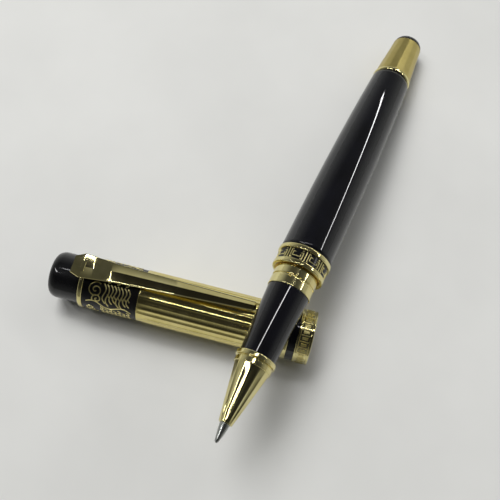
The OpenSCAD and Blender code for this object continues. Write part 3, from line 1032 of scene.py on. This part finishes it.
@dataclass
class Section:
    """The front of the pen: threaded liner, grooved collar, black grip and gold nose."""

    axis: Axis
    thread_start: float = 71.9
    collar: float = 78.9
    grip: float = 83.9
    nose: float = 101.4
    nose_front: float = 117.6
    collar_r: float = 5.35
    grip_rear_r: float = 5.17
    grip_front_r: float = 4.31
    liner_r: float = 3.8
    spigot_r: float = 3.55
    spigot_end: float = 103.8
    bore_r: float = 3.2
    thread_r: float = 4.5
    thread_pitch: float = 1.0
    flange_r: float = 4.84
    bead_r: float = 4.5
    cone_r: float = 4.25
    tip_r: float = 1.6
    guide_r: float = 1.25
    body: str = "section"

    def liner(self) -> None:
        """The brass liner with its helical thread."""

        def thread(station: float, radius: float, turn: float) -> float:
            """Cuts a V groove of 1 mm pitch into the threaded length."""
            if radius < self.thread_r - 0.05 or not self.thread_start + 0.4 < station < self.collar - 0.6:
                return radius
            phase = (station / self.thread_pitch - turn) % 1.0
            return radius - 0.3 * (1 - abs(2 * phase - 1)) ** 0.8

        steps = 70
        length = self.collar - self.thread_start
        outside = [(self.thread_start + length * i / steps, self.thread_r) for i in range(steps + 1)]
        rest = [
            (self.collar, self.liner_r), (self.nose, self.liner_r), (self.nose, self.spigot_r),
            (self.spigot_end, self.spigot_r), (self.spigot_end, self.bore_r),
            (self.thread_start, self.bore_r),
        ]
        mesh = placed(lathe(outside + rest, 96, thread), self.axis)
        finished("section_thread", mesh, BRASS, self.body, ["section_liner"])

    def collar_bands(self) -> None:
        """The gold collar: two polished bands with a fine groove between."""
        middle = (self.collar + self.grip) / 2
        floor_r = self.collar_r - 0.3
        corners = [
            (self.collar, self.liner_r), (self.collar, self.collar_r),
            (middle - 0.3, self.collar_r), (middle - 0.2, floor_r),
            (middle + 0.2, floor_r), (middle + 0.3, self.collar_r),
            (self.grip, self.collar_r), (self.grip, self.liner_r),
        ]
        mesh = placed(lathe(soften(corners, 0.16, 5), 160), self.axis)
        finished("collar_polished", mesh, GOLD, self.body, ["section_collar"])

    def grip_sleeve(self) -> None:
        """The black lacquered grip, tapering to the nose."""
        corners = [
            (self.grip, self.liner_r), (self.grip, self.grip_rear_r),
            (self.nose, self.grip_front_r), (self.nose, self.liner_r),
        ]
        mesh = placed(lathe(soften(corners, 0.15), 160), self.axis)
        finished("grip_lacquered", mesh, LACQUER, self.body, ["grip_sleeve"])

    def nose_cone(self) -> None:
        """The gold nose: flange, bead and a long cone with narrow flats along it."""
        flange_end = self.nose + 1.1
        bead = flange_end + 0.35
        cone = bead + 1.2
        corners = [
            (self.nose, self.spigot_r), (self.nose, self.flange_r), (flange_end, self.flange_r),
            (flange_end, self.bead_r - 0.35), (bead, self.bead_r - 0.35), (bead, self.bead_r),
            (cone, self.bead_r), (cone, self.cone_r), (self.nose_front, self.tip_r),
            (self.nose_front, self.guide_r), (self.nose_front - 2, self.guide_r),
            (self.spigot_end, self.bore_r), (self.spigot_end, self.spigot_r),
        ]
        outline = Barrel._subdivided(soften(corners, 0.22, 5), 1.0)
        mesh = fluted(
            lathe(outline, 224), 14, 0.13, 1.45, (cone + 0.2, self.nose_front - 0.4), 1.2,
            self.axis, GOLD, land=0.25,
        )
        finished("nose_polished", mesh, GOLD, self.body, ["nose_cone"])

    def build(self) -> None:
        """Makes every piece of the section."""
        self.liner()
        self.collar_bands()
        self.grip_sleeve()
        self.nose_cone()


@dataclass
class Refill:
    """The refill's steel point, and its hidden pieces, which keep their CAD shapes."""

    axis: Axis
    root: float = 110.1
    ball_at: float = 121.75
    ball_r: float = 0.35
    shank_r: float = 1.15
    nib_len: float = 4.3
    body: str = "refill"

    def point(self) -> None:
        """The steel point: a shank and a slightly rounded cone down to the ball's rim."""
        tip = self.ball_at + self.ball_r
        rim = self.ball_at + 0.1
        shoulder = tip - self.nib_len
        steps = 10
        nib = [
            (
                shoulder + (rim - shoulder) * i / steps,
                0.42 + (self.shank_r - 0.42) * (1 - (i / steps) ** 1.35),
            )
            for i in range(steps + 1)
        ]
        outline = [(self.root, 0.0), (self.root, self.shank_r), (shoulder - 0.1, self.shank_r)]
        outline += nib + [(rim, 0.3), (rim - 0.3, 0.3), (rim - 0.3, 0.0)]
        mesh = placed(lathe(outline, 96), self.axis)
        finished("refill_point_ground", mesh, STEEL, self.body, ["refill_point"])

    def ball(self) -> None:
        """The writing ball."""
        rows = 16
        outline = [
            (
                self.ball_at - self.ball_r * math.cos(math.pi * i / rows),
                max(0.0, self.ball_r * math.sin(math.pi * i / rows)),
            )
            for i in range(rows + 1)
        ]
        outline[0] = (self.ball_at - self.ball_r, 0.0)
        outline[-1] = (self.ball_at + self.ball_r, 0.0)
        mesh = placed(lathe(outline, 32), self.axis)
        finished("writing_ball_ground", mesh, STEEL, "ball", ["writing_ball"])

    def build(self) -> None:
        """Makes the visible pieces of the refill."""
        self.point()
        self.ball()


@dataclass
class Cap:
    """The cap: black finial, clip ring, ornamented band, fluted tube and banded lip."""

    axis: Axis
    ring: float = 8.0
    band: float = 9.2
    tube: float = 23.1
    thin: float = 59.4
    black: float = 60.6
    lip: float = 62.5
    length: float = 66.2
    finial_end_r: float = 4.5
    finial_r: float = 5.85
    ring_r: float = 6.55
    band_r: float = 6.35
    tube_r: float = 6.5
    thin_r: float = 6.62
    black_r: float = 6.45
    lip_r: float = 6.7
    inner_r: float = 5.9
    screw_r: float = 1.6
    flutes: int = 26
    panels: int = 26
    scrolls: int = 3
    body: str = "cap"

    def _turned(
        self, name: str, corners: Sequence[Point], round_mm: float, finish: Finish, node: str
    ) -> None:
        """One plain turned piece of the cap."""
        mesh = placed(lathe(soften(corners, round_mm, 5), 160), self.axis)
        finished(name, mesh, finish, self.body, [node])

    def _hoop(
        self, name: str, span: Point, radius: float, round_mm: float, finish: Finish,
        node: str, bore: float | None = None,
    ) -> None:
        """One plain ring on the cap's inner tube."""
        inner = self.inner_r if bore is None else bore
        corners = [(span[0], inner), (span[0], radius), (span[1], radius), (span[1], inner)]
        self._turned(name, corners, round_mm, finish, node)

    def finial(self) -> None:
        """The black end button with its rounded shoulder."""
        steps = 12
        shoulder = [
            (
                2.2 * (1 - math.sin(math.pi / 2 * i / steps)),
                self.finial_end_r + (self.finial_r - self.finial_end_r) * math.cos(math.pi / 2 * i / steps),
            )
            for i in range(steps + 1)
        ]
        outline = [(self.ring, 0.0), (self.ring, self.finial_r), (self.ring - 0.4, self.finial_r)]
        outline += shoulder + [(0.0, 0.0)]
        mesh = placed(lathe(outline, 128), self.axis)
        finished("cap_button", mesh, RESIN, self.body, ["cap_finial"])

    def rings(self) -> None:
        """The clip ring, the two rings behind the lip, and the lip band."""
        self._hoop("clip_ring_polished", (self.ring, self.band), self.ring_r, 0.4, GOLD,
                   "clip_ring", self.screw_r)
        self._hoop("thin_ring_polished", (self.thin, self.black), self.thin_r, 0.45, GOLD,
                   "thin_ring")
        self._hoop("black_ring_lacquered", (self.black, self.lip), self.black_r, 0.1, LACQUER,
                   "black_ring")

    def lip_band(self) -> None:
        """The lip band: a bead at each edge and a row of plain raised panels between."""
        low, high = self.lip, self.length
        floor_r = self.lip_r - 0.16
        corners = [
            (low, self.inner_r), (low, self.lip_r), (low + 0.55, self.lip_r), (low + 0.6, floor_r),
            (high - 0.6, floor_r), (high - 0.55, self.lip_r), (high, self.lip_r), (high, self.inner_r),
        ]
        self._turned("lip_band_polished", corners, 0.18, GOLD, "lip_band")
        pitch = TURN * floor_r / self.panels
        middle = (low + high) / 2
        lines = [
            [(pitch * 0.5, low + 0.8), (pitch * 0.5, high - 0.8)],
            [(pitch * 0.12, middle - 0.7), (pitch * 0.12, middle + 0.7)],
            [(pitch * 0.88, middle - 0.7), (pitch * 0.88, middle + 0.7)],
        ]
        unit = strips(lines, 0.34, 0.12)
        mesh = wrapped(unit, self.panels, floor_r, self.axis, GOLD_RELIEF)
        finished("lip_band_pattern", mesh, GOLD_RELIEF, self.body)

    def fluted_tube(self) -> None:
        """The gold tube, drawn with long shallow flutes."""
        corners = [
            (self.tube, self.inner_r), (self.tube, self.tube_r),
            (self.thin, self.tube_r), (self.thin, self.inner_r),
        ]
        outline = Barrel._subdivided(soften(corners, 0.12), 1.5)
        mesh = fluted(
            lathe(outline, self.flutes * 16), self.flutes, 0.14, 6.0,
            (self.tube + 0.45, self.thin - 0.1), 0.3, self.axis, GOLD_FLUTED, land=0.22,
        )
        finished("cap_tube_fluted", mesh, GOLD_FLUTED, self.body, ["cap_tube"])

    def rib_lines(self, width: float) -> list[list[Point]]:
        """Nested curved ribs that sweep round the front half of the band."""
        lines = []
        ribs = 8
        for i in range(ribs):
            station = self.band + 5.6 + 0.86 * i
            reach = width * (0.40 + 0.05 * math.sin(i * 1.7))
            lines.append(wave((width * 0.02, station - 0.5), (reach, station + 0.5), 0.55))
        for i in range(ribs - 1):
            station = self.band + 6.4 + 0.86 * i
            lines.append([(width * 0.20, station), (width * 0.26, station + 0.5)])
        return lines

    def cloud_lines(self, width: float) -> list[list[Point]]:
        """Scrolling clouds near the clip ring."""
        low = self.band
        return [
            volute((width * 0.17, low + 3.4), 1.9, 1.7, math.radians(150)),
            volute((width * 0.34, low + 3.9), 1.2, 1.3, math.radians(-60), -1, 24),
            volute((width * 0.62, low + 2.3), 1.2, 1.4, math.radians(60), -1, 24),
            volute((width * 0.86, low + 2.8), 1.5, 1.5, math.radians(200), 1, 28),
            wave((width * 0.44, low + 1.2), (width * 0.50, low + 12.6), 0.7, 30, 1.5),
        ]

    def scale_lines(self, width: float) -> list[list[Point]]:
        """Rows of overlapping half-round scales like ripples on water."""
        lines = []
        pitch = 1.15
        for row in range(7):
            for column in range(5):
                x = width * 0.56 + pitch * (column + 0.5 * (row % 2))
                y = self.band + 4.9 + 1.1 * row
                arc = [math.pi * k / 8 for k in range(9)]
                lines.append([(x + 0.56 * math.cos(a), y + 0.72 * math.sin(a)) for a in arc])
        return lines

    def ornament_band(self) -> None:
        """The black enamelled band with its raised gold waves, clouds and ripples."""
        self._hoop("cap_band_enamel", (self.band, self.tube), self.band_r, 0.05, ENAMEL,
                   "cap_band")
        width = TURN * self.band_r / self.scrolls
        lines = self.rib_lines(width) + self.cloud_lines(width) + self.scale_lines(width)
        unit = strips(lines, 0.36, 0.1)
        mesh = wrapped(unit, self.scrolls, self.band_r, self.axis, GOLD_RELIEF, start=0.05)
        finished("cap_band_scrolls", mesh, GOLD_RELIEF, self.body)

    def build(self) -> None:
        """Makes every piece of the cap."""
        self.finial()
        self.rings()
        self.lip_band()
        self.fluted_tube()
        self.ornament_band()


@dataclass
class Clip:
    """The gold clip: a dished head, then a ridged arm with a bead under its tip."""

    axis: Axis
    root: float = 6.1
    shoulder: float = 8.4
    neck: float = 17.9
    tip: float = 51.3
    leg_at: float = 8.0
    leg_len: float = 1.2
    head_h: float = 10.0
    tip_h: float = 8.7
    end_w: float = 4.5
    head_w: float = 6.5
    neck_w: float = 4.8
    tip_w: float = 2.4
    thick: float = 0.8
    rim: float = 0.28
    foot: float = 6.6
    bead_r: float = 0.9
    bead_at: float = 49.7
    bead_h: float = 7.42
    body: str = "clip"

    @staticmethod
    def _between(station: float, stops: Sequence[Point], easy: bool = False) -> float:
        """The value at a station between (station, value) stops, in straight or eased steps."""
        for (a, low), (b, high) in zip(stops, stops[1:]):
            if station <= b:
                share = max(0.0, station - a) / (b - a)
                if easy:
                    share = share * share * (3 - 2 * share)
                return low + (high - low) * share
        return stops[-1][1]

    def _row(self, station: float) -> list[Vector]:
        """The cross-section at a station, as points round it in local coordinates."""
        ridge_at_neck = self.head_h + (self.tip_h - self.head_h) * 0.22
        half = 0.5 * self._between(
            station,
            ((self.root, self.end_w), (self.shoulder, self.head_w), (self.neck, self.neck_w),
             (self.tip - 0.5, self.tip_w), (self.tip, self.tip_w * 0.8)),
        )
        edge = self._between(
            station,
            ((self.root, self.head_h - 0.95), (self.shoulder, self.head_h - 0.7),
             (self.neck, ridge_at_neck - 0.75), (self.tip - 0.5, self.tip_h - 0.45),
             (self.tip, self.tip_h - 0.6)),
        )
        middle = self._between(
            station,
            ((self.root, self.head_h - 1.05), (self.shoulder + 1.6, self.head_h - 1.4),
             (self.neck, ridge_at_neck)),
            True,
        )
        if station > self.neck:
            middle = self._between(
                station,
                ((self.neck, ridge_at_neck), (self.tip - 0.5, self.tip_h), (self.tip, self.tip_h - 0.3)),
            )
        low = edge - self.thick
        side = [
            (low, half * 0.86),
            (edge - 0.16, half),
            (edge, half - 0.1),
            (edge, half - self.rim),
        ]
        near = [Vector((h, -y, station)) for h, y in side]
        far = [Vector((h, y, station)) for h, y in reversed(side)]
        return near + [Vector((middle, 0.0, station))] + far

    def arm(self) -> bpy.types.Mesh:
        """The arm as one closed skin of cross-sections, with a section at every change of shape."""
        marks = (self.root, self.shoulder, self.shoulder + 0.6, self.neck, self.tip - 0.5, self.tip)
        counts = (5, 3, 14, 40, 4)
        stations = [marks[0]]
        for a, b, count in zip(marks, marks[1:], counts):
            stations += [a + (b - a) * k / count for k in range(1, count + 1)]
        rows = [self._row(station) for station in stations]
        verts = [spot * MM for row in rows for spot in row]
        size = len(rows[0])
        faces = [
            (i * size + k, i * size + (k + 1) % size, (i + 1) * size + (k + 1) % size, (i + 1) * size + k)
            for i in range(len(rows) - 1)
            for k in range(size)
        ]
        faces.append(tuple(reversed(range(size))))
        faces.append(tuple((len(rows) - 1) * size + k for k in range(size)))
        mesh = bpy.data.meshes.new("arm")
        mesh.from_pydata(verts, [], faces)
        face_outwards(mesh)
        return mesh

    def leg(self) -> bpy.types.Mesh:
        """The short leg that joins the head to the clip ring."""
        work = bmesh.new()
        bmesh.ops.create_cube(work, size=1.0)
        high = self.head_h - 0.3 - self.thick + 0.1
        size = Vector((high - self.foot, self.head_w * 0.68, self.leg_len)) * MM
        middle = Vector(((high + self.foot) / 2, 0.0, self.leg_at + self.leg_len / 2)) * MM
        for vert in work.verts:
            vert.co = Vector(a * b for a, b in zip(vert.co, size)) + middle
        bmesh.ops.bevel(work, geom=work.edges[:], offset=0.15 * MM, segments=3, affect="EDGES")
        mesh = bpy.data.meshes.new("leg")
        work.to_mesh(mesh)
        work.free()
        return mesh

    def bead(self) -> bpy.types.Mesh:
        """The round bead under the tip that grips the pocket."""
        work = bmesh.new()
        bmesh.ops.create_uvsphere(work, u_segments=24, v_segments=14, radius=self.bead_r * MM)
        for vert in work.verts:
            vert.co += Vector((self.bead_h, 0.0, self.bead_at)) * MM
        mesh = bpy.data.meshes.new("bead")
        work.to_mesh(mesh)
        work.free()
        return mesh

    def build(self) -> None:
        """Makes the clip as one piece."""
        work = bmesh.new()
        for part in (self.arm(), self.leg(), self.bead()):
            work.from_mesh(part)
        mesh = bpy.data.meshes.new("clip")
        work.to_mesh(mesh)
        work.free()
        mesh.shade_smooth()
        mesh.set_sharp_from_angle(angle=math.radians(21))
        mesh = placed(mesh, self.axis)
        finished("clip_polished", mesh, GOLD_STAMPED, self.body, ["clip"])


class Innards:
    """The hidden CAD pieces, which keep their shapes and get a finish each."""

    FINISHES = {
        "barrel_bush": BRASS,
        "tail_stud": BRASS,
        "inner_tube": BRASS,
        "cap_plug": BRASS,
        "cap_screw": BRASS,
        "refill_tube": POLYPROPYLENE,
        "refill_plug": POLYPROPYLENE,
        "refill_holder": POLYPROPYLENE,
        "seal_cup": POLYPROPYLENE,
        "ink_wick": FELT,
        "refill_spring": STEEL_WIRE,
    }

    @classmethod
    def build(cls) -> None:
        """Gives each hidden CAD node its finish."""
        for name, finish in cls.FINISHES.items():
            node = frame["nodes"][name]
            if not node.material_slots:
                node.data.materials.append(finish.build())
            for slot in node.material_slots:
                slot.material = finish.build()
            LOG.info("%s keeps its CAD shape", name)


# ---------------------------------------------------------------- the studio


@dataclass
class Studio:
    """The table, the soft light and the camera."""

    mouth: Axis
    table_size: float = 3.0
    lens_mm: float = 51.9
    sensor_mm: float = 36.0
    camera_mm: tuple[float, float, float] = (58.1, -29.6, 182.9)
    heading: tuple[float, float] = (-0.250, 0.968)
    look_down_deg: float = 74.4

    def table(self) -> None:
        """The pale table top."""
        half = self.table_size / 2
        mesh = bpy.data.meshes.new("table_top")
        corners = [(-half, -half, 0), (half, -half, 0), (half, half, 0), (-half, half, 0)]
        mesh.from_pydata(corners, [], [(0, 1, 2, 3)])
        mesh.materials.append(TABLE.build())
        table = bpy.data.objects.new("table_top", mesh)
        bpy.context.scene.collection.objects.link(table)

    def camera(self) -> None:
        """The camera: placed from the cap's finial end, looking steeply down."""
        down = math.radians(self.look_down_deg)
        flat = Vector((*self.heading, 0.0)).normalized()
        look = flat * math.cos(down) - Vector((0, 0, math.sin(down)))
        base = Vector((self.mouth.start.x, self.mouth.start.y, 0.0))
        data = bpy.data.cameras.new("camera")
        data.lens = self.lens_mm
        data.sensor_width = self.sensor_mm
        data.clip_start = 0.005
        data.clip_end = 20.0
        eye = bpy.data.objects.new("camera", data)
        bpy.context.scene.collection.objects.link(eye)
        eye.location = base + Vector(self.camera_mm) * MM
        eye.rotation_euler = look.to_track_quat("-Z", "Y").to_euler()
        bpy.context.scene.camera = eye

    @staticmethod
    def lamp(
        name: str, place: Sequence[float], aim: Sequence[float], size: Sequence[float],
        power: float, seen: bool, tint: str = "#ffffff", roll: float = 0.0,
    ) -> None:
        """One rectangular area light.

        Args:
            name: its name.
            place: where it stands, in metres.
            aim: the point it faces.
            size: its length and width.
            power: its power in watts.
            seen: whether polished surfaces mirror it.
            tint: its colour.
            roll: turn about its own beam, in degrees.
        """
        data = bpy.data.lights.new(name, "AREA")
        data.shape = "RECTANGLE"
        data.size, data.size_y = size
        data.energy = power
        data.color = colour(tint)[:3]
        lamp = bpy.data.objects.new(name, data)
        bpy.context.scene.collection.objects.link(lamp)
        lamp.location = place
        turn = (Vector(aim) - Vector(place)).to_track_quat("-Z", "Y").to_matrix()
        rolled = turn @ Matrix.Rotation(math.radians(roll), 3, "Z")
        lamp.rotation_euler = rolled.to_euler()
        lamp.visible_glossy = seen

    def lights(self) -> None:
        """A broad soft key from behind on the left, and three slim ceiling tubes."""
        self.lamp("soft_key", (-0.42, 0.55, 1.2), (0, 0, 0), (0.7, 0.7), 15.0, False)
        self.tube("tube_right", (0.30, 2.00, 1.5), (2.60, 0.95, 1.5), 0.07, 32.0)
        self.tube("tube_middle", (0.40, 0.76, 1.5), (-0.60, 0.54, 1.5), 0.04, 26.0)
        self.tube("tube_left", (-0.60, -0.10, 1.5), (-1.60, 0.40, 1.5), 0.07, 26.0)

    def tube(
        self, name: str, start: Sequence[float], end: Sequence[float], width: float, glow: float
    ) -> None:
        """One slim ceiling tube between two points, facing down.

        Args:
            name: its name.
            start: one end, in metres.
            end: the other end.
            width: its width.
            glow: its radiance.
        """
        a, b = Vector(start), Vector(end)
        length = (b - a).length
        middle = (a + b) / 2
        heading = math.degrees(math.atan2(b.y - a.y, b.x - a.x))
        power = glow * math.pi * length * width
        self.lamp(name, middle, middle - Vector((0, 0, 1)), (length, width), power, True, roll=heading)

    def room(self) -> None:
        """The room: pale walls, a darker ceiling and the shade of whoever leans over the table."""
        world = bpy.data.worlds.new("room")
        bpy.context.scene.world = world
        world.use_nodes = True
        tree = world.node_tree
        tree.nodes.clear()
        source = add_node(tree, "ShaderNodeTexCoord")
        parts = add_node(tree, "ShaderNodeSeparateXYZ", links={0: source.outputs["Generated"]}).outputs
        sky = ramp(
            tree, parts["Z"],
            ((0.0, "#bcbdb8"), (0.30, "#a2a3a0"), (0.65, "#4e4f4e"), (1.0, "#262627")),
        )
        shade = add_node(
            tree,
            "ShaderNodeMapRange",
            inputs={"From Min": -0.7, "From Max": 0.5, "To Min": 0.45, "To Max": 1.1},
            links={"Value": parts["Y"]},
        )
        back = add_node(
            tree, "ShaderNodeBackground", links={"Color": sky, "Strength": shade.outputs["Result"]}
        )
        add_node(tree, "ShaderNodeOutputWorld", links={"Surface": back.outputs[0]})

    def build(self) -> None:
        """Sets up the whole studio."""
        bpy.context.scene.view_settings.view_transform = "Standard"
        self.table()
        self.camera()
        self.lights()
        self.room()


def main() -> None:
    """Builds the pen, the cap and the studio, in order."""
    logging.basicConfig(level=logging.INFO, format="%(name)s: %(message)s")
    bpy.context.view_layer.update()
    pen = pen_axis(joint_station=78.9)
    cap = cap_axis(mouth_station=65.6)
    Barrel(pen).build()
    Section(pen).build()
    Refill(pen).build()
    Cap(cap).build()
    Clip(cap.leaning(-12).swung(8.0, 1.5)).build()
    Innards.build()
    Studio(cap).build()


if __name__ == "__main__":
    main()
